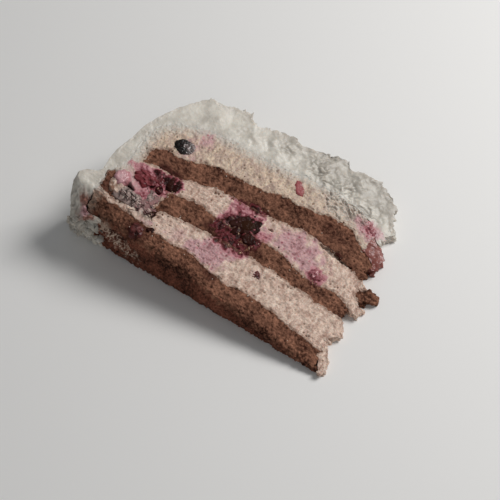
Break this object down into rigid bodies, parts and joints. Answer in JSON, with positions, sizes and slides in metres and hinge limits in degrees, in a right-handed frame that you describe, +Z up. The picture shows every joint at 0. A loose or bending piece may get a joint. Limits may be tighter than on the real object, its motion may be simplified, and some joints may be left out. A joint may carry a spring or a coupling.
{
  "type": "forest berry torte slice",
  "caption": "Wedge-shaped slice of layered sponge and cream torte with forest berries, lying on its cut side.",
  "frame": {"origin": "bottom centre of the slice as it lies on its cut side", "axes": "+X from the rim to the tip of the slice, +Y from the cake's base to its top, +Z up"},
  "size_m": [0.1365, 0.0998, 0.0334],
  "materials": {
    "cocoa_sponge": "open matt crumb",
    "berry_cream": "foamy, stained with berry juice",
    "vanilla_cream": "foamy, fine bubbles",
    "whipped_cream": "soft, craggy, faintly glossy",
    "compote": "moist",
    "dark_berry": "moist, glossy",
    "pale_berry": "moist, crushed",
    "red_berry": "moist pulp",
    "pink_berry": "moist, cream-coated"
  },
  "bodies": {
    "root": {"sponge_bottom": "cocoa_sponge", "sponge_middle": "cocoa_sponge", "sponge_upper": "cocoa_sponge", "sponge_rim": "cocoa_sponge", "sponge_crumb": "cocoa_sponge", "cream_lower": "berry_cream", "cream_middle": "berry_cream", "cream_upper": "vanilla_cream", "coat": "whipped_cream", "compote_tip": "compote", "bramble_centre": "dark_berry", "bramble_rim": "dark_berry", "bramble_base": "dark_berry", "bilberry_upper": "dark_berry", "currant_lower": "dark_berry", "currant_base": "dark_berry", "bilberry_crushed": "pale_berry", "currant_pale": "pale_berry", "raspberry_cluster": "red_berry", "raspberry_bit": "red_berry", "fruit_piece": "red_berry", "fruit_tip": "red_berry", "raspberry_rim": "pink_berry"}
  },
  "joints": []
}
